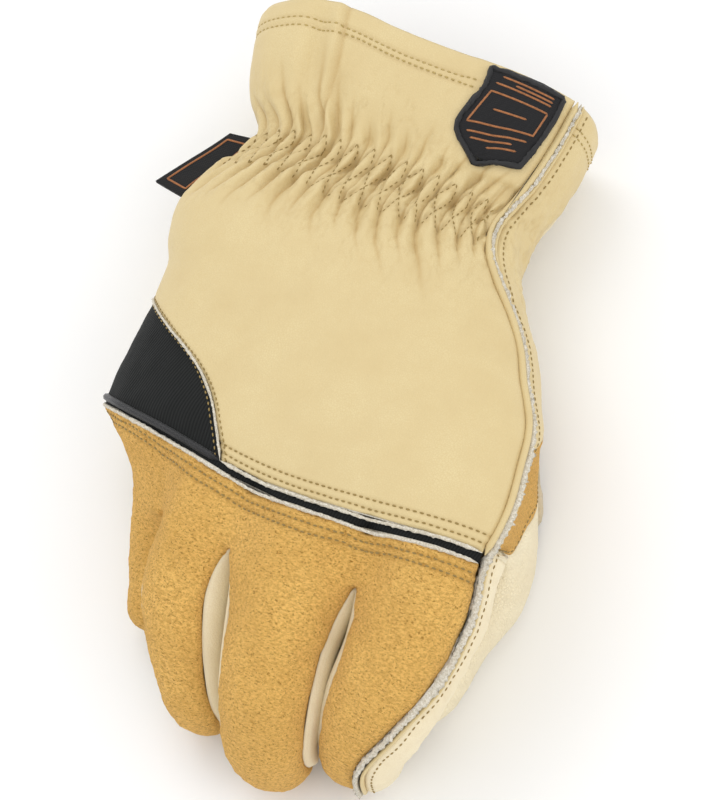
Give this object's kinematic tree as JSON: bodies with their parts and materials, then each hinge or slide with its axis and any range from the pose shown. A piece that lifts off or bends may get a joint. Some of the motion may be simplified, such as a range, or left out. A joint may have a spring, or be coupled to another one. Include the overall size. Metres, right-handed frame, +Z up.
{
  "type": "leather driver glove",
  "caption": "Insulated leather work glove for the right hand, lying palm down with curled fingers, gathered elastic wrist, suede finger backs and a plain cuff patch.",
  "frame": {"origin": "on the flattened underside of the palm, where it rests", "axes": "+Z up from the table, +Y along the glove toward the cuff opening, +X toward the thumb side"},
  "size_m": [0.1595, 0.2339, 0.0667],
  "materials": {
    "back_leather": "smooth grain, satin",
    "side_leather": "smooth grain, satin",
    "palm_leather": "grain, matt",
    "strip_leather": "grain, matt",
    "thumb_leather": "pebbled grain, matt",
    "finger_suede": "suede, napped",
    "patch_suede": "suede, napped",
    "stretch_fabric": "ribbed stretch fabric, matt",
    "strip_fabric": "matt",
    "raw_edge": "cut edge, fuzzy",
    "label_weave": "woven, matt",
    "tag_weave": "woven, matt"
  },
  "bodies": {
    "root": {"back_panel": "back_leather", "wrist_side_panel": "side_leather", "palm_panel": "palm_leather", "knuckle_insert": "stretch_fabric", "knuckle_strip": "strip_fabric", "finger_back": "finger_suede", "fourchette_index_middle": "strip_leather", "fourchette_middle_ring": "strip_leather", "fourchette_ring_pinky": "strip_leather", "thumb_shell": "thumb_leather", "thumb_patch": "patch_suede", "outseam_welt": "raw_edge", "label_patch": "label_weave", "side_tag": "tag_weave"}
  },
  "joints": []
}
